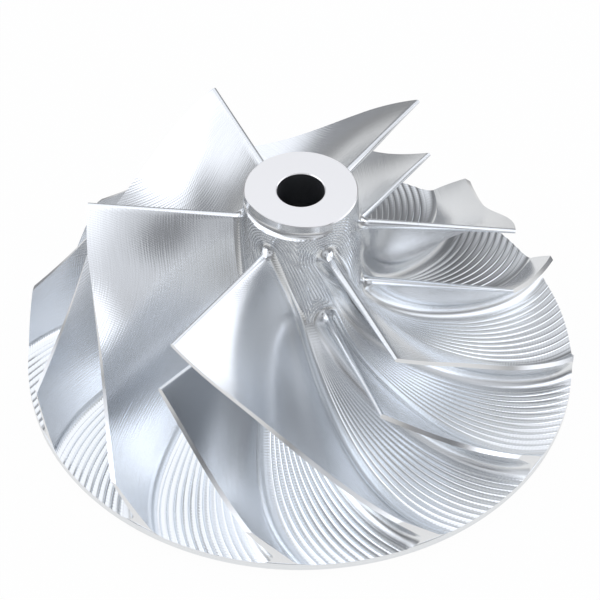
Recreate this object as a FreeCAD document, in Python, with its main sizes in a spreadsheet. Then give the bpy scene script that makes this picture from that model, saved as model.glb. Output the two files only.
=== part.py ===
import FreeCAD, Part
import math
import os

import Sketcher
from FreeCAD import Placement, Rotation, Vector

# Compressor wheel of a turbocharger, milled from one aluminium billet.
# Origin at the middle of the seat face under the hub, +Z along the axis towards the nose.
# The wheel turns clockwise seen from the nose, and going down its blades lag behind that turn.

doc = FreeCAD.newDocument("CompressorWheel")

# Driving sizes in millimetres and degrees. Heights are measured from the seat face.
SIZES = [
    ("outer_diameter", 76.2, "exducer, over the blade exits and the rim"),
    ("inducer_diameter", 57.3, "over the leading edges"),
    ("bore_diameter", 6.35, "shaft bore, right through"),
    ("bore_chamfer", 0.2, "on both ends of the bore"),
    ("nose_diameter", 15.2, "milled hub at the nose face"),
    ("nose_height", 33.9, "seat face to nose face"),
    ("nose_chamfer", 0.15, "edge of the nose face"),
    ("cut_radius", 8.6, "wall of the balance cut at the nose"),
    ("cut_offset", 1.7, "axis of the balance cut from the shaft axis"),
    ("cut_direction", 65, "turn of that offset from +X"),
    ("cut_height", 31.8, "lowest level of the balance cut"),
    ("cut_corner", 1.0, "corner radius of its cutter"),
    ("waist_diameter", 16.2, "milled hub where its curve starts"),
    ("waist_height", 21.5, "height where the hub curve starts"),
    ("hub_reach", 38.0, "level half axis of the elliptic hub curve"),
    ("rim_thickness", 1.1, "back disc at the outer edge"),
    ("rim_height", 1.5, "underside of the rim above the seat face"),
    ("seat_diameter", 15.5, "seat boss on the back"),
    ("seat_step", 0.6, "seat boss proud of the back cone"),
    ("inlet_height", 28.9, "plane of the full leading edges"),
    ("exit_width", 5.9, "blade height at the exit"),
    ("contour_radius", 16.6, "turned contour over the blade tips"),
    ("splitter_root_height", 18.4, "splitter leading edge at the hub"),
    ("splitter_tip_height", 19.6, "splitter leading edge at the inducer radius"),
    ("blade_pairs", 6, "full blades, each with one splitter"),
    ("lead_angle", -5.2, "turn of the first leading edge from +X"),
    ("hub_wrap", 63.4, "turn of a blade root from inlet to exit"),
    ("tip_wrap", 55.3, "turn of a blade tip from inlet to exit"),
    ("hub_inlet_angle", 26.0, "root angle to the axis at the inlet"),
    ("tip_inlet_angle", 58.0, "tip angle to the axis at the inlet"),
    ("hub_exit_angle", 41.0, "root angle to the radius at the exit"),
    ("tip_exit_angle", 46.0, "tip angle to the radius at the exit"),
    ("root_thickness", 1.3, "blade thickness at the hub"),
    ("tip_thickness", 0.6, "blade thickness at the tip"),
]

sheet = doc.addObject("Spreadsheet::Sheet", "Sizes")
for row, (alias, value, note) in enumerate(SIZES, start=1):
    sheet.set(f"A{row}", alias)
    sheet.set(f"B{row}", str(value))
    sheet.set(f"C{row}", note)
    sheet.setAlias(f"B{row}", alias)
doc.recompute()

# Radii and heights that several outlines share, as expressions on the sheet.
OUTER_R = "Sizes.outer_diameter / 2"
INDUCER_R = "Sizes.inducer_diameter / 2"
BORE_R = "Sizes.bore_diameter / 2"
NOSE_R = "Sizes.nose_diameter / 2"
WAIST_R = "Sizes.waist_diameter / 2"
SEAT_R = "Sizes.seat_diameter / 2"
CORE_R = "(Sizes.bore_diameter + Sizes.nose_diameter) / 4"
NECK_Z = "Sizes.nose_height - Sizes.nose_chamfer"
FLOOR_Z = "Sizes.rim_height + Sizes.rim_thickness"
EXIT_Z = f"{FLOOR_Z} + Sizes.exit_width"
DISC_Z = "Sizes.rim_height + Sizes.rim_thickness / 2"
BEND_Z = (f"{EXIT_Z} + sqrt(Sizes.contour_radius ^ 2"
          f" - (Sizes.contour_radius - {OUTER_R} + {INDUCER_R}) ^ 2)")
EDGE_SLOPE = f"(Sizes.splitter_tip_height - Sizes.splitter_root_height) / ({INDUCER_R} - {WAIST_R})"


def value_of(expression):
    """Number that an expression on the sheet gives."""
    return float(sheet.evalExpression(expression))


# Hub curve, balance cut's corner and tip contour, in the plane of radius and height


def hub_curve():
    """Quarter ellipse from the waist, where it is upright, down and out to the rim."""
    reach = value_of("Sizes.hub_reach")
    centre = Vector(value_of(WAIST_R) + reach, value_of("Sizes.waist_height"), 0)
    across = (centre.x - value_of(OUTER_R)) / reach
    drop = (centre.y - value_of(FLOOR_Z)) / math.sqrt(1 - across**2)
    ellipse = Part.Ellipse(centre + Vector(reach, 0, 0), centre + Vector(0, drop, 0), centre)
    return Part.ArcOfEllipse(ellipse, math.pi, math.pi + math.acos(across))


def cutter_corner():
    """Quarter circle at the foot of the balance cut's wall, from its wall to its floor."""
    radius = value_of("Sizes.cut_corner")
    centre = Vector(value_of("Sizes.cut_radius") + radius, value_of("Sizes.cut_height") + radius, 0)
    return Part.ArcOfCircle(Part.Circle(centre, Vector(0, 0, 1), radius), math.pi, 1.5 * math.pi)


def contour_curve():
    """Circular arc from the inducer, where it is upright, down and out to the exit."""
    radius = value_of("Sizes.contour_radius")
    centre = Vector(value_of(INDUCER_R) + radius, value_of(BEND_Z), 0)
    across = (centre.x - value_of(OUTER_R)) / radius
    circle = Part.Circle(centre, Vector(0, 0, 1), radius)
    return Part.ArcOfCircle(circle, math.pi, math.pi + math.acos(across))


# Turned bodies


def hold_size(sketch, name, expression, kind, *places):
    """Constraint of a sketch that follows an expression on the sheet."""
    rule = sketch.addConstraint(Sketcher.Constraint(kind, *places, value_of(expression)))
    sketch.renameConstraint(rule, name)
    sketch.setExpression("Constraints." + name, expression)


def hold_ellipse(sketch, arc):
    """Level long axis of the hub's reach, and a centre level with the waist."""
    sketch.exposeInternalGeometry(arc)
    long_axis = arc + 1
    sketch.addConstraint(Sketcher.Constraint("Horizontal", long_axis))
    hold_size(sketch, "long_axis", "Sizes.hub_reach * 2", "Distance", long_axis)
    sketch.addConstraint(Sketcher.Constraint("Horizontal", arc, 3, arc, 1))


def hold_circle(sketch, arc):
    """Radius of the tip contour."""
    hold_size(sketch, "contour_radius", "Sizes.contour_radius", "Radius", arc)


def hold_corner(sketch, arc):
    """Radius of the balance cut's corner."""
    hold_size(sketch, "corner_radius", "Sizes.cut_corner", "Radius", arc)


def turned_body(name, corners, curved_side=None, curve=None, hold_curve=None):
    """Body revolved about Z from a closed outline of (radius, height) expressions.

    Its sides are straight, apart from curved_side, which follows the curve from its far end back.
    """
    body = doc.addObject("PartDesign::Body", name)
    sketch = body.newObject("Sketcher::SketchObject", name + "_outline")
    plane = next(f for f in body.Origin.OriginFeatures if f.Role == "XZ_Plane")
    sketch.AttachmentSupport = [(plane, "")]
    sketch.MapMode = "FlatFace"
    points = [Vector(value_of(radius), value_of(height), 0) for radius, height in corners]
    sides = []
    for number, start in enumerate(points):
        if number == curved_side:
            arc = sketch.addGeometry(curve, False)
            sides.append(((arc, 2), (arc, 1)))
            hold_curve(sketch, arc)
        else:
            end = points[(number + 1) % len(points)]
            line = sketch.addGeometry(Part.LineSegment(start, end), False)
            sides.append(((line, 1), (line, 2)))
    for number, corner in enumerate(corners):
        vertex = sides[number][0]
        sketch.addConstraint(Sketcher.Constraint("Coincident", *sides[number - 1][1], *vertex))
        for direction, expression in zip("XY", corner):
            hold_size(sketch, f"corner_{number}_{direction}", expression,
                      "Distance" + direction, -1, 1, *vertex)
    turning = body.newObject("PartDesign::Revolution", name + "_turning")
    turning.Profile = sketch
    turning.ReferenceAxis = (sketch, ["V_Axis"])
    turning.Angle = 360
    body.Tip = turning
    return body


# Hub with its nose, bore, back disc and seat boss
hub = turned_body("hub", [
    (f"{BORE_R} + Sizes.bore_chamfer", "0"),
    (SEAT_R, "0"),
    (SEAT_R, "Sizes.seat_step"),
    (OUTER_R, "Sizes.rim_height"),
    (OUTER_R, FLOOR_Z),
    (WAIST_R, "Sizes.waist_height"),
    (NOSE_R, NECK_Z),
    (f"{NOSE_R} - Sizes.nose_chamfer", "Sizes.nose_height"),
    (f"{BORE_R} + Sizes.bore_chamfer", "Sizes.nose_height"),
    (BORE_R, "Sizes.nose_height - Sizes.bore_chamfer"),
    (BORE_R, "Sizes.bore_chamfer"),
], 4, hub_curve(), hold_ellipse)

# Balance cut: a cutter circles the nose off centre and so bites into one side of it
cutter = turned_body("balance_cutter", [
    ("Sizes.cut_radius + 3 * Sizes.cut_corner", "Sizes.nose_height + Sizes.cut_corner"),
    ("Sizes.cut_radius + 3 * Sizes.cut_corner", "Sizes.cut_height"),
    ("Sizes.cut_radius + Sizes.cut_corner", "Sizes.cut_height"),
    ("Sizes.cut_radius", "Sizes.cut_height + Sizes.cut_corner"),
    ("Sizes.cut_radius", "Sizes.nose_height + Sizes.cut_corner"),
], 2, cutter_corner(), hold_corner)
for direction, part in (("x", "cos"), ("y", "sin")):
    cutter.setExpression("Placement.Base." + direction,
                         f"Sizes.cut_offset * {part}(Sizes.cut_direction)")
balanced_hub = doc.addObject("Part::Cut", "balanced_hub")
balanced_hub.Base, balanced_hub.Tool = hub, cutter

# Turned blank that bounds every blade: exit, contour over the tips and flat inlet plane
blade_blank = turned_body("blade_blank", [
    (CORE_R, DISC_Z),
    (OUTER_R, DISC_Z),
    (OUTER_R, EXIT_Z),
    (INDUCER_R, BEND_Z),
    (INDUCER_R, "Sizes.inlet_height"),
    (CORE_R, "Sizes.inlet_height"),
], 2, contour_curve(), hold_circle)

# Cone under which the splitters are cut back, well below the full leading edges
splitter_blank = turned_body("splitter_blank", [
    (CORE_R, DISC_Z),
    (OUTER_R, DISC_Z),
    (OUTER_R, f"Sizes.splitter_tip_height + {EDGE_SLOPE} * ({OUTER_R} - {INDUCER_R})"),
    (CORE_R, f"Sizes.splitter_root_height - {EDGE_SLOPE} * ({WAIST_R} - {CORE_R})"),
])
doc.recompute()


# Blade with ruled sides, cut over size and then turned to its blank

STATIONS = 8           # spans of the curve through a blade line
OVERRUN = 0.05         # share of its length that a blade line runs past the inlet and the exit
ROOT_SINK = 0.08       # share of its height that a blade reaches into the hub
TIP_EXCESS = 0.06      # share of its height that a blade reaches past the turned contour


def blade_line(inlet_radius, curve, wrap, inlet_angle, exit_angle):
    """Middle line of a blade, down the hub or the tip contour and past both ends.

    Its turn about Z is the cubic in the share of the line's length that starts and ends at the
    blade angles and turns by the wrap in between.
    """
    inlet = Vector(inlet_radius, value_of("Sizes.inlet_height"), 0)
    bend, exit_point = curve.StartPoint, curve.EndPoint
    edges = [Part.makeLine(inlet, bend), curve.toShape()]
    length = sum(edge.Length for edge in edges)
    lead_in = (inlet - bend).normalize() * (OVERRUN * length)
    run_out = Vector(*curve.tangent(curve.LastParameter)[0]) * (OVERRUN * length)
    edges.insert(0, Part.makeLine(inlet + lead_in, inlet))
    edges.append(Part.makeLine(exit_point, exit_point + run_out))
    start_slope = math.tan(math.radians(inlet_angle)) * length / inlet.x
    end_slope = math.tan(math.radians(exit_angle)) * length / exit_point.x
    line = []
    for i, point in enumerate(Part.Wire(edges).discretize(STATIONS + 1)):
        share = -OVERRUN + (1 + 2 * OVERRUN) * i / STATIONS
        angle = (math.radians(wrap) * (3 - 2 * share) * share**2
                 + start_slope * share * (1 - share)**2
                 - end_slope * share**2 * (1 - share))
        line.append(Vector(point.x * math.cos(angle), point.x * math.sin(angle), point.y))
    return line


def side_edge(lower, upper, share, thickness, hand):
    """Long edge of a blade side: points at one share of the height, half a wall off the middle."""
    points = []
    for i, (root, tip) in enumerate(zip(lower, upper)):
        before, after = max(i - 1, 0), min(i + 1, len(lower) - 1)
        along = (lower[after] - lower[before]) * (1 - share) + (upper[after] - upper[before]) * share
        normal = along.cross(tip - root).normalize()
        points.append(root + (tip - root) * share + normal * (hand * thickness / 2))
    curve = Part.BSplineCurve()
    curve.interpolate(points)
    return curve.toShape()


def blade_block(lower, upper, root_wall, tip_wall):
    """Closed blade between two middle lines, over size all round."""
    edges = []
    for share in (-ROOT_SINK, 1 + TIP_EXCESS):
        wall = root_wall + (tip_wall - root_wall) * share
        edges.append([side_edge(lower, upper, share, wall, hand) for hand in (-1, 1)])
    faces = [Part.makeRuledSurface(*pair) for pair in edges]
    faces += [Part.makeRuledSurface(edges[0][side], edges[1][side]) for side in (0, 1)]
    for end in (0, 1):
        corners = [[edge.Vertexes[end].Point for edge in pair] for pair in edges]
        faces.append(Part.makeRuledSurface(*[Part.makeLine(*pair) for pair in corners]))
    shell = Part.makeShell(faces)
    shell.sewShape()
    block = Part.makeSolid(shell)
    if block.Volume < 0:
        block.reverse()
    return block


def inlet_radius():
    """Radius of the hub in the plane of the full leading edges, between the waist and the nose."""
    share = value_of(f"(Sizes.inlet_height - Sizes.waist_height) / ({NECK_Z} - Sizes.waist_height)")
    return value_of(WAIST_R) + value_of(f"{NOSE_R} - {WAIST_R}") * share


def law(line):
    """Wrap, inlet angle and exit angle of one blade line, the hub's or the tip's."""
    return [value_of(f"Sizes.{line}_{name}") for name in ("wrap", "inlet_angle", "exit_angle")]


hub_line = blade_line(inlet_radius(), hub_curve(), *law("hub"))
tip_line = blade_line(value_of(INDUCER_R), contour_curve(), *law("tip"))
block = doc.addObject("Part::Feature", "blade_block")
block.Shape = blade_block(hub_line, tip_line,
                          value_of("Sizes.root_thickness"), value_of("Sizes.tip_thickness"))

full_blade = doc.addObject("Part::Common", "full_blade")
full_blade.Base, full_blade.Tool = block, blade_blank
splitter_blade = doc.addObject("Part::Common", "splitter_blade")
splitter_blade.Base, splitter_blade.Tool = full_blade, splitter_blank

# Ring of blades, each splitter half a pitch behind its full blade
pairs = int(value_of("Sizes.blade_pairs"))
ring = []
for source, name, behind in ((full_blade, "full", 0), (splitter_blade, "splitter", 0.5)):
    for number in range(pairs):
        blade = doc.addObject("App::Link", f"{name}_blade_{number + 1}")
        blade.LinkedObject = source
        turn = f"Sizes.lead_angle + 360 * {number - behind} / Sizes.blade_pairs"
        blade.Placement = Placement(Vector(), Rotation(Vector(0, 0, 1), value_of(turn)))
        blade.setExpression("Placement.Rotation.Angle", turn)
        ring.append(blade)

# The wheel is one solid: hub and blades are left standing in the same billet
wheel = doc.addObject("Part::MultiFuse", "compressor_wheel")
wheel.Label = "compressor_wheel"
wheel.Shapes = [balanced_hub] + ring
doc.recompute()

for item in doc.Objects:
    if "Invalid" in item.State or "Error" in item.State:
        raise RuntimeError(f"{item.Label} did not build")
if wheel.Shape.isNull() or not wheel.Shape.isValid() or len(wheel.Shape.Solids) != 1:
    raise RuntimeError("the wheel is not one sound solid")

os.makedirs("parts", exist_ok=True)
wheel.Shape.Solids[0].exportStep(f"parts/{wheel.Label}.step")
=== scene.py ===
import math

import bpy
import numpy as np
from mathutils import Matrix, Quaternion, Vector


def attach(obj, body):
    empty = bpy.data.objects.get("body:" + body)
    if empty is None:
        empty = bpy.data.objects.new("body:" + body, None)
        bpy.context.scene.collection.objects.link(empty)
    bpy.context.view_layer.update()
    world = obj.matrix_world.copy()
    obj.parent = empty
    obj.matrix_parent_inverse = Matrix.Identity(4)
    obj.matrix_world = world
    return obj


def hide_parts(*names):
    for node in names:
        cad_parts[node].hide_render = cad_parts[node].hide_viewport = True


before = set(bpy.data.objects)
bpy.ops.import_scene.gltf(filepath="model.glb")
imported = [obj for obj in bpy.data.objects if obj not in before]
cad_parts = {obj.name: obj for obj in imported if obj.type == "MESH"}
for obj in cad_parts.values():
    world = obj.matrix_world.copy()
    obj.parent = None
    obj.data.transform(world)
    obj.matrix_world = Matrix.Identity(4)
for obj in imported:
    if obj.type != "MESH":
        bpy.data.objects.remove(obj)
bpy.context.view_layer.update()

# Compressor wheel of a turbocharger, milled from one aluminium billet. Sizes are in millimetres
# in the frame of the CAD: the seat face under the hub at height 0 and the shaft along Z.


# Full blades
# Six twisted aluminium blades, flank-milled out of the billet: straight from root to tip, thinner
# at the turned tip, with a round leading edge. The cutter's ball nose leaves a cove at each root.

MM = 0.001
PAIRS = 6
RIM_R = 38.1
FLOOR_Z = 2.6                       # floor of the passages at the rim
WAIST_R, WAIST_Z = 8.1, 21.5        # where the hub's curve starts
NECK_R, NECK_Z = 7.6, 33.75         # milled hub at the edge of the nose face
HUB_REACH = 38.0                    # level half axis of the hub's quarter ellipse
INLET_R, INLET_Z = 28.65, 28.9      # leading edges: tip radius and height
EXIT_Z = 8.5                        # blade tips at the rim
CONTOUR_R = 16.6                    # turned contour over the tips
LEAD = math.radians(-5.2)           # turn of the first blade's leading edge
ROOT_TURN = (math.radians(63.4), math.radians(26), math.radians(41))   # wrap, inlet, exit
TIP_TURN = (math.radians(55.3), math.radians(58), math.radians(46))
ROOT_WALL, TIP_WALL = 1.3, 0.6
NOSE_DEPTH, NOSE_CREST = 0.34, 0.07    # leading edge: rounding and middle crest, shares of the wall
COVE_R = 1.35                       # root fillet
COVE_REACH = (0.7, 1.7)             # least and most width of the fillet, as shares of its radius
COVE_LIP = 0.1                      # lean of the fillet's upper end, which leaves a fine line
SKIRT = 0.12                        # depth to which a blade's foot is let into the floor
PAST_RIM = 1.06                     # share of the length to which a blade runs before the rim cuts it
FOOT_LIFTS, TOP_LIFTS = (-0.3, 0.4), (0.6, 1.4)    # lifts between which a ruling meets hub and contour
STEP_AHEAD, STEP_UP = 0.002, 0.01   # half steps over which a blade's slopes are taken
HALVINGS = 26                       # halvings of such a bracket
NOSE_COLUMNS, SIDE_COLUMNS = 7, 74
COVE_ROWS, SIDE_ROWS = 7, 16


def smooth(share):
    """Even start and end between 0 and 1."""
    share = np.clip(share, 0, 1)
    return share * share * (3 - 2 * share)


def neck_radius(height):
    """Radius of the straight neck of the hub at a height."""
    return WAIST_R + (NECK_R - WAIST_R) * (height - WAIST_Z) / (NECK_Z - WAIST_Z)


def arc_path(start, centre, half_axes, end_radius):
    """Straight run from start to the top of an ellipse's left flank, and down it to a radius."""
    stop = math.pi + math.acos((centre[0] - end_radius) / half_axes[0])
    turn = np.linspace(math.pi, stop, 400)
    arc = np.column_stack([centre[0] + half_axes[0] * np.cos(turn),
                           centre[1] + half_axes[1] * np.sin(turn)])
    return np.vstack([start, arc])


HUB_CENTRE = (WAIST_R + HUB_REACH, WAIST_Z)
ACROSS = (HUB_CENTRE[0] - RIM_R) / HUB_REACH
HUB_AXES = (HUB_REACH, (WAIST_Z - FLOOR_Z) / math.sqrt(1 - ACROSS**2))
BEND_Z = EXIT_Z + math.sqrt(CONTOUR_R**2 - (CONTOUR_R - RIM_R + INLET_R)**2)
hub_path = arc_path((neck_radius(INLET_Z), INLET_Z), HUB_CENTRE, HUB_AXES, RIM_R)
tip_path = arc_path((INLET_R, INLET_Z), (INLET_R + CONTOUR_R, BEND_Z),
                    (CONTOUR_R, CONTOUR_R), RIM_R)


def travel(path):
    """Length along a path up to each of its points."""
    return np.concatenate([[0], np.hypot(*np.diff(path, axis=0).T).cumsum()])


def along(path, share):
    """Radius and height at a share of a path's length. Past its ends the path runs on straight."""
    length = travel(path)
    wanted = np.asarray(share) * length[-1]
    inside = np.clip(wanted, 0, length[-1])
    first, last = path[1] - path[0], path[-1] - path[-2]
    past = (wanted - inside)[..., None]
    heading = np.where(past < 0, first / np.hypot(*first), last / np.hypot(*last))
    on_path = np.stack([np.interp(inside, length, path[:, k]) for k in (0, 1)], axis=-1)
    return np.moveaxis(on_path + past * heading, -1, 0)


def turn_at(path, law, share):
    """Turn of a blade line about the axis: the cubic in the share that starts and ends at the
    blade angles and turns by the wrap in between."""
    wrap, inlet, outlet = law
    length = travel(path)[-1]
    start = math.tan(inlet) * length / path[0, 0]
    end = math.tan(outlet) * length / path[-1, 0]
    return LEAD + (wrap * (3 - 2 * share) * share**2 + start * share * (1 - share)**2
                   - end * share**2 * (1 - share))


def on_axis(radius, turn, height):
    """Points at a radius, a turn about the axis and a height."""
    return np.stack(np.broadcast_arrays(radius * np.cos(turn), radius * np.sin(turn), height), -1)


def blade_line(path, law, share):
    """Points of a blade's root or tip line."""
    radius, height = along(path, share)
    return on_axis(radius, turn_at(path, law, share), height)


def unit(vectors):
    """Vectors at length one."""
    return vectors / np.linalg.norm(vectors, axis=-1, keepdims=True)


def blade_middle(share, lift, skew=0.0):
    """Straight line from the root line to the tip line. A skew sets its root ahead of its tip,
    less and less towards the rim."""
    root = blade_line(hub_path, ROOT_TURN, share - skew * (1 - share))
    tip = blade_line(tip_path, TIP_TURN, share + skew * (1 - share))
    return root + (tip - root) * lift[..., None]


def blade_skin(share, lift, offset, skew):
    """Point of the blade's middle, moved square to the middle surface by an offset."""
    ahead = (blade_middle(share + STEP_AHEAD, lift, skew)
             - blade_middle(share - STEP_AHEAD, lift, skew))
    upward = blade_middle(share, lift + STEP_UP, skew) - blade_middle(share, lift - STEP_UP, skew)
    return blade_middle(share, lift, skew) + unit(np.cross(ahead, upward)) * offset[..., None]


def polar(points):
    """Radius and height of points."""
    return np.hypot(points[..., 0], points[..., 1]), points[..., 2]


def above_hub(points):
    """Height over the hub's surface: its gap to the quarter ellipse, or to the straight neck."""
    radius, height = polar(points)
    east, north = (radius - HUB_CENTRE[0]) / HUB_AXES[0], (height - HUB_CENTRE[1]) / HUB_AXES[1]
    ratio = np.hypot(east, north)
    slope = np.hypot(east / HUB_AXES[0], north / HUB_AXES[1]) / ratio
    return np.where(height > WAIST_Z, radius - neck_radius(height), (1 - ratio) / slope)


def hub_normal(points):
    """Direction square to the hub's surface, into the passage."""
    radius, height = polar(points)
    outward = np.where(height > WAIST_Z, 1, (HUB_CENTRE[0] - radius) / HUB_AXES[0]**2)
    upward = np.where(height > WAIST_Z, (WAIST_R - NECK_R) / (NECK_Z - WAIST_Z),
                      (HUB_CENTRE[1] - height) / HUB_AXES[1]**2)
    return unit(on_axis(outward, np.arctan2(points[..., 1], points[..., 0]), upward))


def past_contour(points):
    """Distance past the turned contour over the tips."""
    radius, height = polar(points)
    reach = np.hypot(radius - INLET_R - CONTOUR_R, height - BEND_Z)
    return np.where(height > BEND_Z, radius - INLET_R, CONTOUR_R - reach)


def meet(gap, low, high):
    """Value at which a growing gap passes zero, by halving the bracket for a whole array."""
    for _ in range(HALVINGS):
        middle = (low + high) / 2
        beyond = gap(middle) > 0
        low, high = np.where(beyond, low, middle), np.where(beyond, middle, high)
    return (low + high) / 2


def cut_at_rim(rows):
    """Rows of points drawn in along their second half so that each ends on the rim cylinder."""
    count = rows.shape[1] - 1
    column = np.arange(count + 1.0)
    half = count / 2
    trimmed = []
    for row in rows:
        reach = np.hypot(row[:, 0], row[:, 1])
        last = np.interp(RIM_R, reach[count // 2:], column[count // 2:])
        at = np.where(column < half, column, half + (column - half) * (last - half) / (count - half))
        trimmed.append(np.column_stack([np.interp(at, column, row[:, k]) for k in range(3)]))
    return np.array(trimmed)


def wall_columns():
    """Columns of a blade's shell, from the rim down one side, round the leading edge and back up
    the other: how far each lies behind the foremost line within the rounding, in wall
    thicknesses, its share of the length behind the rounding, and its side from -1 to 1.

    The rounding is half an ellipse, by the sine and cosine of a swing, and has a fine crest along
    its middle, where the cuts from both sides meet.
    """
    swing = np.linspace(0, math.pi / 2, NOSE_COLUMNS)
    rounding = np.concatenate([np.sin(swing), np.ones(SIDE_COLUMNS)])
    run = NOSE_DEPTH * (1 - np.cos(swing)) + NOSE_CREST * np.sin(swing)
    run = np.concatenate([run, np.zeros(SIDE_COLUMNS)])
    behind = np.concatenate([np.zeros(NOSE_COLUMNS), np.arange(1, SIDE_COLUMNS + 1) / SIDE_COLUMNS])
    return (np.append(run[:0:-1], run), np.append(behind[:0:-1], behind),
            np.append(-rounding[:0:-1], rounding))


def fillet(start, hinge, end, opening):
    """Rows of an arc that leaves start and reaches end along the lines to the hinge: the rational
    quadratic curve whose middle weight is the sine of half the opening between those lines."""
    bend = np.linspace(0, 1, COVE_ROWS)[:, None, None]
    weight = np.sin(opening / 2)[:, None]
    return (((1 - bend)**2 * start + 2 * weight * bend * (1 - bend) * hinge + bend**2 * end)
            / ((1 - bend)**2 + 2 * weight * bend * (1 - bend) + bend**2))


def blade_rows(leading_share, skew):
    """Rows of a blade's shell: its foot in the floor, the cove, and the flank up to the turned tip.
    Its leading edge lies along the ruling at the leading share."""
    run, behind, side = wall_columns()

    def skin(lift):
        """Points of the blade's skin at a lift from root to tip, one for each column."""
        lift = np.broadcast_to(lift, np.broadcast_shapes(np.shape(lift), side.shape))
        length = (1 - lift) * travel(hub_path)[-1] + lift * travel(tip_path)[-1]
        wall = ROOT_WALL + (TIP_WALL - ROOT_WALL) * lift
        nose_end = leading_share + (NOSE_DEPTH + NOSE_CREST) * wall / length
        share = np.where(behind > 0, nose_end + (PAST_RIM - nose_end) * behind,
                         leading_share + run * wall / length)
        return blade_skin(share, lift, side * wall / 2, skew)

    foot = meet(lambda lift: above_hub(skin(lift)), *(bound + 0 * side for bound in FOOT_LIFTS))
    top = meet(lambda lift: past_contour(skin(lift)), *(bound + 0 * side for bound in TOP_LIFTS))
    corner = skin(foot)
    forward = unit(np.gradient(corner, axis=0))
    away = unit(np.cross(forward, hub_normal(corner)))
    quarter = side.size // 4
    away *= np.sign(((corner[quarter] - corner[-1 - quarter]) * away[quarter]).sum())
    ruling = skin(top) - corner
    upward = unit(ruling - forward * (ruling * forward).sum(-1, keepdims=True))
    opening = np.arccos(np.clip((away * upward).sum(-1), -0.9, 0.9))
    least, most = COVE_REACH
    reach = np.clip(COVE_R / np.tan(opening / 2), least * COVE_R, most * COVE_R)[:, None]
    on_floor = corner + away * reach
    for _ in range(3):
        on_floor = on_floor - hub_normal(on_floor) * above_hub(on_floor)[:, None]
    rise = foot + reach[:, 0] / np.linalg.norm(ruling, axis=-1) * (top - foot)
    cove = fillet(on_floor, corner + away * reach * COVE_LIP, skin(rise), opening)
    climb = np.linspace(0, 1, SIDE_ROWS + 1)[1:, None]
    flank = skin(rise + (top - rise) * climb)
    skirt = on_floor - hub_normal(on_floor) * SKIRT
    rows = np.concatenate([skirt[None], cove, flank])
    middle = rows.shape[1] // 2
    return np.concatenate([cut_at_rim(rows[:, middle::-1])[:, :0:-1], cut_at_rim(rows[:, middle:])],
                          axis=1)


def blade_faces(rows, columns):
    """Quads of a closed blade: the shell, the tip land, the exit face and the foot."""
    index = np.arange(rows * columns).reshape(rows, columns)
    shell = np.stack([index[:-1, :-1], index[:-1, 1:], index[1:, 1:], index[1:, :-1]], -1)
    middle = columns // 2
    left, right = index[:, middle::-1], index[:, middle:]
    land = np.stack([left[-1, :-1], right[-1, :-1], right[-1, 1:], left[-1, 1:]], -1)
    foot = np.stack([right[0, :-1], left[0, :-1], left[0, 1:], right[0, 1:]], -1)
    exit_face = np.stack([right[:-1, -1], left[:-1, -1], left[1:, -1], right[1:, -1]], -1)
    return [part.reshape(-1, 4) for part in (shell, land, foot, exit_face)]


def add_piece(name, points, faces, looks, look_of=None, flow=None, smooth_angle=35):
    """Mesh object at the origin from points in millimetres and quads; a quad that names one
    point twice is made a triangle."""
    quads = [tuple(dict.fromkeys(face)) for face in faces.tolist()]
    mesh = bpy.data.meshes.new(name)
    mesh.from_pydata((points * MM).tolist(), [], quads)
    for look in looks:
        mesh.materials.append(look)
    if look_of is not None:
        mesh.polygons.foreach_set("material_index", look_of.astype(np.int32))
    if flow is not None:
        corner = np.empty(len(mesh.loops), dtype=np.int32)
        mesh.loops.foreach_get("vertex_index", corner)
        mesh.uv_layers.new(name="flow").data.foreach_set("uv", flow[corner].astype(np.float32).ravel())
    mesh.shade_smooth()
    mesh.set_sharp_from_angle(angle=math.radians(smooth_angle))
    piece = bpy.data.objects.new(name, mesh)
    bpy.context.collection.objects.link(piece)
    return piece


def crease(piece, marked):
    """Sharp edge wherever both ends of an edge are marked."""
    ends = np.empty(len(piece.data.edges) * 2, dtype=np.int32)
    piece.data.edges.foreach_get("vertices", ends)
    sharp = piece.data.attributes["sharp_edge"].data
    creased = np.empty(len(sharp), dtype=bool)
    sharp.foreach_get("value", creased)
    sharp.foreach_set("value", creased | marked[ends].reshape(-1, 2).all(1))


def turned(points, angle):
    """Points turned about the axis."""
    c, s = math.cos(angle), math.sin(angle)
    return points @ np.array([[c, s, 0], [-s, c, 0], [0, 0, 1]])


STREAKS_ACROSS, STREAKS_ALONG = 4.0, 0.2    # streaks to the millimetre


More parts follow.
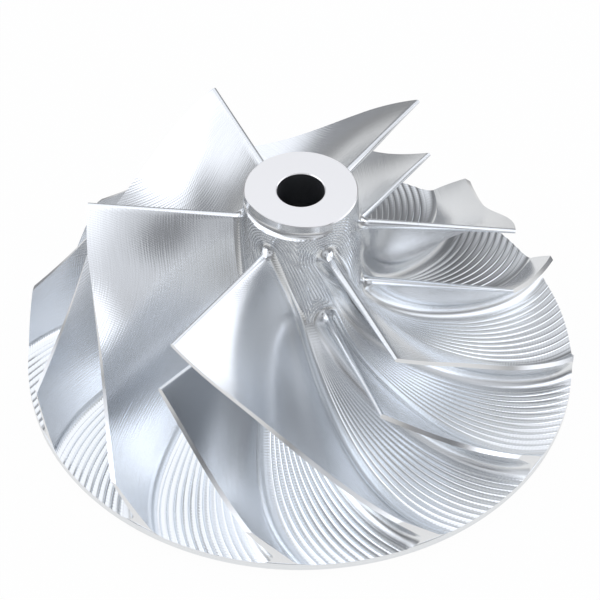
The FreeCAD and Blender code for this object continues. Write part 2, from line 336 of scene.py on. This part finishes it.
def tool_marks():
    """Node group: fine marks that a cutter leaves along a surface's own UV map in millimetres, as
    a height: broken streaks along the cut, even ridges across it and feed marks along it."""
    group = bpy.data.node_groups.new("Tool marks", "ShaderNodeTree")
    for name, value in (("Streaks", 0.5), ("Ridges per mm", 3.0), ("Ridge", 0.3),
                        ("Feeds per mm", 3.0), ("Feed", 0.3)):
        socket = group.interface.new_socket(name, in_out="INPUT", socket_type="NodeSocketFloat")
        socket.default_value = value
    group.interface.new_socket("Height", in_out="OUTPUT", socket_type="NodeSocketFloat")
    nodes, links = group.nodes, group.links
    given, result = nodes.new("NodeGroupInput"), nodes.new("NodeGroupOutput")
    place = nodes.new("ShaderNodeUVMap")
    place.uv_map = "flow"
    split = nodes.new("ShaderNodeSeparateXYZ")
    links.new(place.outputs["UV"], split.inputs[0])

    def reckon(operation, first, second):
        """Math node on two sockets or numbers."""
        node = nodes.new("ShaderNodeMath")
        node.operation = operation
        for socket, value in zip(node.inputs, (first, second)):
            if isinstance(value, (int, float)):
                socket.default_value = value
            else:
                links.new(value, socket)
        return node.outputs[0]

    def wave(axis, count, strength):
        """Even ridges along one axis, so many to the millimetre."""
        turn = reckon("MULTIPLY", reckon("MULTIPLY", split.outputs[axis], given.outputs[count]), math.tau)
        return reckon("MULTIPLY", reckon("SINE", turn, 0.0), given.outputs[strength])

    join = nodes.new("ShaderNodeCombineXYZ")
    for number, (axis, count) in enumerate((("X", STREAKS_ACROSS), ("Y", STREAKS_ALONG))):
        links.new(reckon("MULTIPLY", split.outputs[axis], count), join.inputs[number])
    streak = nodes.new("ShaderNodeTexNoise")
    streak.inputs["Scale"].default_value = 1.0
    streak.inputs["Detail"].default_value = 1.0
    links.new(join.outputs[0], streak.inputs["Vector"])
    height = reckon("MULTIPLY", streak.outputs["Fac"], given.outputs["Streaks"])
    height = reckon("ADD", height, wave("X", "Ridges per mm", "Ridge"))
    height = reckon("ADD", height, wave("Y", "Feeds per mm", "Feed"))
    links.new(height, result.inputs["Height"])
    return group


marks = tool_marks()


def aluminium(name, colour, roughness, streaks, ridges=0.0, ridge=0.0, feeds=0.0, feed=0.0,
              tint=0.0):
    """Bare machined aluminium with tool marks in thousandths of a millimetre, and a tint by which
    each thousandth of their height brightens the metal."""
    look = bpy.data.materials.new(name)
    look.use_nodes = True
    nodes, links = look.node_tree.nodes, look.node_tree.links
    metal = nodes["Principled BSDF"]
    metal.inputs["Metallic"].default_value = 1.0
    metal.inputs["Roughness"].default_value = roughness
    tool = nodes.new("ShaderNodeGroup")
    tool.node_tree = marks
    for socket, value in zip(tool.inputs, (streaks, ridges, ridge, feeds, feed)):
        socket.default_value = value
    bump = nodes.new("ShaderNodeBump")
    bump.inputs["Strength"].default_value = 1.0
    bump.inputs["Distance"].default_value = 0.001 * MM
    links.new(tool.outputs["Height"], bump.inputs["Height"])
    links.new(bump.outputs["Normal"], metal.inputs["Normal"])
    shade = nodes.new("ShaderNodeMath")
    shade.operation = "MULTIPLY_ADD"
    shade.inputs[1].default_value = tint
    shade.inputs[2].default_value = 1 - tint * streaks / 2
    links.new(tool.outputs["Height"], shade.inputs[0])
    tinted = nodes.new("ShaderNodeVectorMath")
    tinted.operation = "SCALE"
    tinted.inputs[0].default_value = colour
    links.new(shade.outputs[0], tinted.inputs["Scale"])
    links.new(tinted.outputs[0], metal.inputs["Base Color"])
    return look


flank_milled = aluminium("flank-milled aluminium", (0.90, 0.92, 0.945), roughness=0.22, streaks=12.0,
                         ridges=2.7, ridge=1.4, feeds=3.1, feed=1.1, tint=0.008)
turned_edge = aluminium("turned edge", (0.93, 0.94, 0.955), roughness=0.22, streaks=3.0)
ball_milled = aluminium("ball-milled aluminium", (0.90, 0.92, 0.94), roughness=0.13, streaks=4.0,
                        feeds=2.5, feed=2.0, tint=0.01)


def blade_ring(name, rows, first_turn):
    """One object with a blade for each pair, evenly round the wheel, its coves in another finish
    than its flanks, and sharp along the middle crest and the cove's upper end."""
    faces = blade_faces(*rows.shape[:2])
    points = rows.reshape(-1, 3)
    length = np.linalg.norm(np.gradient(rows, axis=1), axis=-1).cumsum(1)
    height = np.linalg.norm(np.diff(rows, axis=0, prepend=rows[:1]), axis=-1).cumsum(0)
    flow = np.stack([height, length], -1).reshape(-1, 2)
    look_of = np.concatenate([np.full(len(part), k) for part, k in zip(faces, (0, 1, 0, 1))])
    look_of[:COVE_ROWS * (rows.shape[1] - 1)] = 2
    quads = np.concatenate(faces)
    piece = add_piece(
        name,
        np.concatenate([turned(points, first_turn + math.tau * n / PAIRS) for n in range(PAIRS)]),
        np.concatenate([quads + n * len(points) for n in range(PAIRS)]),
        [flank_milled, turned_edge, ball_milled], np.tile(look_of, PAIRS), np.tile(flow, (PAIRS, 1)))
    marked = np.zeros(rows.shape[:2], dtype=bool)
    marked[COVE_ROWS] = True
    marked[COVE_ROWS:, rows.shape[1] // 2] = True
    crease(piece, np.tile(marked.ravel(), PAIRS))
    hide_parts("compressor_wheel")
    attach(piece, "root")


full_rows = blade_rows(0.0, 0.0)
blade_ring("full_blades", full_rows, 0)


# Splitter blades
# Six short blades of the same aluminium, each like a full one and half a pitch behind it. They
# start lower on the hub, along a straight leading edge that sets their rulings aslant.

SPLITTER_START = (0.231, 0.386)     # shares of the root line and of the tip line at the leading edge
HALF_PITCH = math.pi / PAIRS

splitter_middle = sum(SPLITTER_START) / 2
splitter_skew = (SPLITTER_START[1] - splitter_middle) / (1 - splitter_middle)
splitter_rows = blade_rows(splitter_middle, splitter_skew)
blade_ring("splitter_blades", splitter_rows, -HALF_PITCH)


# Milled hub and passage floors
# The hub between the blades, swept by a ball-nosed cutter in passes that follow the blade feet
# and spread towards the rim. Each pass is a shallow groove between two thin, sharp cusps.

PASSES = 11
ACROSS_PASS = np.array([0, 0.05, 0.13, 0.3, 0.5, 0.7, 0.87, 0.95])    # columns over one pass
GROOVE_R = 3.0                      # hollow of the grooves
CUSP, CUSP_AT_RIM, CUSP_AT_NECK = 0.025, 0.04, 0.055    # cusp height by the pitch, and what is added
RIM_FROM, RIM_TO = 14.0, 28.0       # radii over which the rim's share sets in
NECK_FROM, NECK_TO = 14.0, 22.0     # heights over which the neck's share sets in
FINE_Z = 18.0                       # down to here the hub is milled in finer lines
UNDER_COVE = 0.97                   # share of the cove's width at which the grooves end
UNDER = 4                           # columns under a blade
FLOOR_ROWS, NOSE_ROWS = 66, 16
RIM_UNDERSIDE = 1.5                 # lower edge of the rim
CUT_R, CUT_CORNER, CUT_Z = 8.6, 1.0, 31.8    # balance cut: wall, corner and lowest level
CUT_OFFSET, CUT_DIRECTION = 1.7, math.radians(65)    # place of the cutter's axis beside the wheel's


def foot_edges(rows, path_share):
    """Turn from the middle of the root line to the cove's edge on the floor, on each side, at
    each share down the hub. It is nothing ahead of the blade."""
    edge = rows[1]
    radius, height = polar(edge)
    place = np.interp(radius - height, hub_path[:, 0] - hub_path[:, 1],
                      travel(hub_path) / travel(hub_path)[-1])
    high = edge[:, 2] > INLET_Z
    place = np.where(high, share_at(height), place)
    turn = np.arctan2(edge[:, 1], edge[:, 0]) - turn_at(hub_path, ROOT_TURN, place)
    turn = (turn + math.pi) % math.tau - math.pi
    middle = rows.shape[1] // 2
    sides = []
    for part in (slice(middle, None), slice(middle, None, -1)):
        order = np.argsort(place[part])
        sides.append(np.interp(path_share, place[part][order], turn[part][order], left=0.0))
    return sorted(sides, key=lambda side: side[-1])


def cut_reach(turn, height):
    """Radius that the balance cut leaves: its wall and rounded corner, about an axis off centre.
    Below the cut it lies beyond the rim."""
    into = np.clip((CUT_Z + CUT_CORNER - height) / CUT_CORNER, 0, 1)
    wall = CUT_R + CUT_CORNER * (1 - np.sqrt(1 - into**2))
    swing = turn - CUT_DIRECTION
    reach = CUT_OFFSET * np.cos(swing) + np.sqrt(wall**2 - (CUT_OFFSET * np.sin(swing))**2)
    return np.where(height < CUT_Z, 99.0, reach)


def share_at(height):
    """Share of the hub's length at a height on the straight neck."""
    taper = math.atan2(WAIST_R - NECK_R, NECK_Z - WAIST_Z)
    return (INLET_Z - height) / math.cos(taper) / travel(hub_path)[-1]


def gap_to_feet(points, feet):
    """Distance of each point from the nearest straight piece of the feet's outlines."""
    starts = np.concatenate([foot[:-1] for foot in feet])
    spans = np.concatenate([np.diff(foot, axis=0) for foot in feet])
    lengths = (spans**2).sum(-1)
    starts, spans, lengths = starts[lengths > 0], spans[lengths > 0], lengths[lengths > 0]
    from_start = points[:, None] - starts
    share = np.clip((from_start * spans).sum(-1) / lengths, 0, 1)
    return np.linalg.norm(from_start - share[..., None] * spans, axis=-1).min(1)


down = np.concatenate([np.linspace(share_at(NECK_Z), share_at(CUT_Z - 0.1), NOSE_ROWS),
                       np.linspace(share_at(CUT_Z - 0.1), 1, FLOOR_ROWS)[1:]])
radius, height = along(hub_path, down)
length = travel(hub_path)[-1] * down
cusp_height = (CUSP + CUSP_AT_RIM * smooth((radius - RIM_FROM) / (RIM_TO - RIM_FROM))
               + CUSP_AT_NECK * smooth((height - NECK_FROM) / (NECK_TO - NECK_FROM)))


def passage(start, stop):
    """Turn and groove depth across the floor between two feet, at each step down the hub, and the
    columns that are cusps. A groove is as deep as an arc of its radius over the pitch, and falls
    away from its cusps by the fifth power of the way from its middle."""
    share = (np.arange(PASSES)[:, None] + ACROSS_PASS).ravel() / PASSES
    turn = start[:, None] + (stop - start)[:, None] * share
    heading = np.arctan(radius[:, None] * np.gradient(turn, length, axis=0))
    pitch = radius[:, None] * (stop - start)[:, None] * np.cos(heading) / PASSES
    aside = np.abs(2 * ((share * PASSES) % 1) - 1)
    depth = pitch**2 / (8 * GROOVE_R) * (1 - aside**2) + cusp_height[:, None] * pitch * (1 - aside**5)
    return turn, depth, aside > 0.999


def under_blade(start, stop):
    """The same under a blade, where the floor is plain and only its first column is sharp."""
    share = np.arange(UNDER) / UNDER
    turn = start[:, None] + (stop - start)[:, None] * share
    return turn, 0 * turn, share == 0


root_turn = turn_at(hub_path, ROOT_TURN, down)
full_behind, full_ahead = foot_edges(full_rows, down)
split_behind, split_ahead = foot_edges(splitter_rows, down)
edges = [root_turn + full_ahead * UNDER_COVE,
         root_turn + HALF_PITCH + split_behind * UNDER_COVE,
         root_turn + HALF_PITCH + split_ahead * UNDER_COVE,
         root_turn + 2 * HALF_PITCH + full_behind * UNDER_COVE,
         root_turn + 2 * HALF_PITCH + full_ahead * UNDER_COVE]
strips = [part(start, stop) for part, start, stop
          in zip((passage, under_blade, passage, under_blade), edges, edges[1:])]
turns, depths, cusps = (np.concatenate(parts, axis=-1) for parts in zip(*strips))

# The flow map: the distance from the nearest foot, and the way down the hub.
feet = [turned(rows[1], (n + behind) * math.tau / PAIRS)
        for rows, behind in ((full_rows, 0), (splitter_rows, -0.5)) for n in (-1, 0, 1, 2)]
plain = on_axis(radius[:, None], turns, height[:, None])
from_foot = np.array([gap_to_feet(row, feet) for row in plain])
flows = np.stack(np.broadcast_arrays(from_foot, length[:, None]), -1)

# All pairs round the wheel, with the grooves let in, the balance cut and the rim's edge.
turns = np.concatenate([turns + 2 * HALF_PITCH * n for n in range(PAIRS)], 1)
depths, cusps, flows = np.tile(depths, (1, PAIRS)), np.tile(cusps, PAIRS), np.tile(flows, (1, PAIRS, 1))
floor = on_axis(radius[:, None], turns, height[:, None])
floor = floor - hub_normal(floor) * depths[..., None]
reach, level = polar(floor)
in_cut = cut_reach(turns, level) < reach
floor = np.where(in_cut[..., None], on_axis(cut_reach(turns, level), turns, level), floor)
floor[-1] = on_axis(RIM_R, turns[-1], floor[-1, :, 2])
floor = np.concatenate([floor, on_axis(RIM_R, turns[-1], RIM_UNDERSIDE)[None]])
flows = np.concatenate([flows, flows[-1:] + [0, 1]])
in_cut = np.append(in_cut, np.zeros((1, turns.shape[1]), bool), axis=0)


def ring_quads(rows, columns):
    """Quads between rows of points that each close into a ring."""
    index = np.arange(rows * columns).reshape(rows, columns)
    following = np.roll(index, -1, axis=1)
    return np.stack([index[:-1], index[1:], following[1:], following[:-1]], -1).reshape(-1, 4)


# Quads without width, from where a blade has no foot, are left out.
points, quads = floor.reshape(-1, 3), ring_quads(*floor.shape[:2])
spread = np.linalg.norm(points[quads[:, 1]] - points[quads[:, 2]], axis=-1)
spread += np.linalg.norm(points[quads[:, 0]] - points[quads[:, 3]], axis=-1)
quads = quads[spread > 1e-4]
in_cut = in_cut.ravel()[quads].sum(1) > 2
finely = points[quads][..., 2].mean(1) > FINE_Z
neck_milled = aluminium("fine-milled neck", (0.84, 0.865, 0.895), roughness=0.16, streaks=6.0,
                        ridges=2.5, ridge=16.0, tint=0.006)
milled_hub = add_piece("milled_hub", points, quads, [ball_milled, neck_milled, turned_edge],
                       np.where(in_cut, 2, finely), flows.reshape(-1, 2), smooth_angle=40)
crease(milled_hub, np.tile(cusps, len(floor)))
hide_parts("compressor_wheel")
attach(milled_hub, "root")


# Turned nose face, bore and back
# Everything that the lathe leaves in the aluminium: the flat nose face with its broken edge, the
# bore right through, painted dark inside as shade, the seat boss, the slightly coned back and the edge
# under the rim.

NOSE_Z = 33.9
BORE_R, BORE_CHAMFER = 3.175, 0.12
SEAT_R, SEAT_STEP = 7.75, 0.6
EDGE_BREAK = 0.15
SPACING = 4.0                       # longest step along the outline
SEGMENTS = 240


def stepped(corners, spacing):
    """Outline with points no farther apart than the spacing, and its corners kept."""
    outline = [corners[0]]
    for start, end in zip(corners, corners[1:]):
        count = max(1, math.ceil(math.dist(start, end) / spacing))
        step = np.subtract(end, start) / count
        outline += [tuple(np.add(start, step * k)) for k in range(1, count + 1)]
    return np.array(outline)


outline = stepped([
    (NECK_R, NECK_Z), (NECK_R - NOSE_Z + NECK_Z, NOSE_Z),
    (BORE_R + BORE_CHAMFER, NOSE_Z), (BORE_R, NOSE_Z - BORE_CHAMFER),
    (BORE_R, BORE_CHAMFER), (BORE_R + BORE_CHAMFER, 0), (SEAT_R - EDGE_BREAK, 0),
    (SEAT_R, EDGE_BREAK), (SEAT_R, SEAT_STEP), (RIM_R - EDGE_BREAK, RIM_UNDERSIDE - EDGE_BREAK),
    (RIM_R, RIM_UNDERSIDE),
][::-1], SPACING)
turn, level = np.arange(SEGMENTS) * math.tau / SEGMENTS, outline[:, 1:]
points = on_axis(np.minimum(outline[:, :1], cut_reach(turn, level)), turn, level).reshape(-1, 3)
quads = ring_quads(len(outline), SEGMENTS)
reach = travel(outline)
flow = np.repeat(np.column_stack([reach, 0 * reach]), SEGMENTS, axis=0)
lathe_turned = aluminium("lathe-turned aluminium", (0.97, 0.96, 0.96), roughness=0.3, streaks=0.3,
                         ridges=5.0, ridge=0.1)
# The bore is the same bare aluminium, painted dark grey: painted shade for the deep, narrow hole.
bore_painted_shade = aluminium("bore aluminium with painted shade", (0.30, 0.31, 0.33), roughness=0.45, streaks=1.0)
in_bore = polar(points[quads].mean(1))[0] < BORE_R + 0.01
turned_faces = add_piece("turned_faces", points, quads, [lathe_turned, bore_painted_shade],
                         in_bore.astype(int), flow, smooth_angle=30)
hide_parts("compressor_wheel")
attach(turned_faces, "root")


# Floor, light and camera
# A white paper sweep under soft studio light from both sides and above, and the camera at the
# photograph's place. The paper glows less away from the wheel, as a sweep does out of the light.

FLOOR_SIZE = 6.0                    # this section is in metres
PAPER_GLOW = 0.97                   # share of its own white in how the camera and the metal see the paper
GLOW_NEAR, GLOW_FAR = 0.86, 0.24    # strength of that white for the metal, at two distances
NEAR, FAR = 0.03, 0.2               # those distances, from the shaft
LENS = 160.76
CAMERA_AT, CAMERA_AIM = (-0.00004, -0.25775, 0.27707), (-0.00004, 0, 0.01306)
CAMERA_ROLL = 0.0051
floor_mesh = bpy.data.meshes.new("floor_sheet")
half = FLOOR_SIZE / 2
floor_mesh.from_pydata([(-half, -half, 0), (half, -half, 0), (half, half, 0), (-half, half, 0)],
                       [], [(0, 1, 2, 3)])
floor_sheet = bpy.data.objects.new("floor_sheet", floor_mesh)
bpy.context.collection.objects.link(floor_sheet)

paper = bpy.data.materials.new("white paper")
paper.use_nodes = True
nodes, links = paper.node_tree.nodes, paper.node_tree.links
nodes.remove(nodes["Principled BSDF"])
matt, glow, blend = (nodes.new(kind) for kind in
                     ("ShaderNodeBsdfDiffuse", "ShaderNodeEmission", "ShaderNodeMixShader"))
matt.inputs["Color"].default_value = (0.85, 0.85, 0.85, 1)
glow.inputs["Color"].default_value = (1, 1, 1, 1)
path = nodes.new("ShaderNodeLightPath")
seen = path.outputs["Is Camera Ray"]
for kind in ("Is Glossy Ray", "Is Transmission Ray"):
    either = nodes.new("ShaderNodeMath")
    either.operation = "MAXIMUM"
    links.new(seen, either.inputs[0])
    links.new(path.outputs[kind], either.inputs[1])
    seen = either.outputs[0]
part = nodes.new("ShaderNodeMath")
part.operation = "MULTIPLY"
part.inputs[1].default_value = PAPER_GLOW
links.new(seen, part.inputs[0])
links.new(part.outputs[0], blend.inputs["Fac"])
distance = nodes.new("ShaderNodeVectorMath")
distance.operation = "LENGTH"
links.new(nodes.new("ShaderNodeTexCoord").outputs["Object"], distance.inputs[0])
falloff = nodes.new("ShaderNodeMapRange")
for socket, number in (("From Min", NEAR), ("From Max", FAR), ("To Min", GLOW_NEAR),
                       ("To Max", GLOW_FAR)):
    falloff.inputs[socket].default_value = number
links.new(distance.outputs["Value"], falloff.inputs["Value"])
bright = nodes.new("ShaderNodeMath")
bright.operation = "MAXIMUM"
links.new(falloff.outputs["Result"], bright.inputs[0])
links.new(path.outputs["Is Camera Ray"], bright.inputs[1])
links.new(bright.outputs[0], glow.inputs["Strength"])
links.new(matt.outputs["BSDF"], blend.inputs[1])
links.new(glow.outputs["Emission"], blend.inputs[2])
links.new(blend.outputs["Shader"], nodes["Material Output"].inputs["Surface"])
floor_mesh.materials.append(paper)

world = bpy.data.worlds.new("studio")
world.use_nodes = True
bpy.context.scene.world = world
nodes, links = world.node_tree.nodes, world.node_tree.links
heading = nodes.new("ShaderNodeTexCoord").outputs["Generated"]


def graded(value, start, stop, low, high):
    """A value mapped from one range to another with an even start and end."""
    node = nodes.new("ShaderNodeMapRange")
    node.interpolation_type = "SMOOTHSTEP"
    for socket, number in (("From Min", start), ("From Max", stop), ("To Min", low), ("To Max", high)):
        node.inputs[socket].default_value = number
    links.new(value, node.inputs["Value"])
    return node.outputs["Result"]


def sky_patch(turn, rise, spread, around, inside):
    """Round patch in the sky at a turn and a rise in degrees: one value inside it, and another
    from its spread on outwards. A value of 1 is white."""
    turn, rise = math.radians(turn), math.radians(rise)
    towards = nodes.new("ShaderNodeVectorMath")
    towards.operation = "DOT_PRODUCT"
    towards.inputs[1].default_value = (math.cos(turn) * math.cos(rise), math.sin(turn) * math.cos(rise),
                                       math.sin(rise))
    links.new(heading, towards.inputs[0])
    return graded(towards.outputs["Value"], math.cos(math.radians(spread)),
                  math.cos(math.radians(spread / 4)), around, inside)


level = nodes.new("ShaderNodeSeparateXYZ")
links.new(heading, level.inputs[0])
strength = graded(level.outputs["Z"], -0.2, 0.7, 0.41, 0.0)
for operation, patch in (
        ("ADD", sky_patch(166, 22, 30, 0.0, 0.93)),         # left, low
        ("ADD", sky_patch(198, 42, 25, 0.0, 1.79)),         # left, high
        ("ADD", sky_patch(14, 26, 32, 0.0, 1.3)),           # right, low
        ("ADD", sky_patch(346, 48, 19, 0.0, 1.43)),         # right, high
        ("ADD", sky_patch(281, 47, 51, 0.0, 0.69)),         # front
        ("ADD", sky_patch(112, 70, 58, 0.0, 1.09)),         # overhead
        ("MULTIPLY", sky_patch(268, 32, 16, 1.0, 0.25))):   # dark camera
    mixed = nodes.new("ShaderNodeMath")
    mixed.operation = operation
    links.new(strength, mixed.inputs[0])
    links.new(patch, mixed.inputs[1])
    strength = mixed.outputs[0]
links.new(strength, nodes["Background"].inputs["Strength"])
nodes["Background"].inputs["Color"].default_value = (0.955, 0.975, 1.02, 1)

camera = bpy.data.objects.new("camera", bpy.data.cameras.new("camera"))
camera.data.lens = LENS
camera.data.sensor_width = 36
camera.location = CAMERA_AT
aim = Vector(CAMERA_AIM) - camera.location
camera.rotation_mode = "QUATERNION"
camera.rotation_quaternion = aim.to_track_quat("-Z", "Y") @ Quaternion((0, 0, 1), CAMERA_ROLL)
bpy.context.collection.objects.link(camera)
bpy.context.scene.camera = camera
bpy.context.scene.view_settings.view_transform = "Standard"
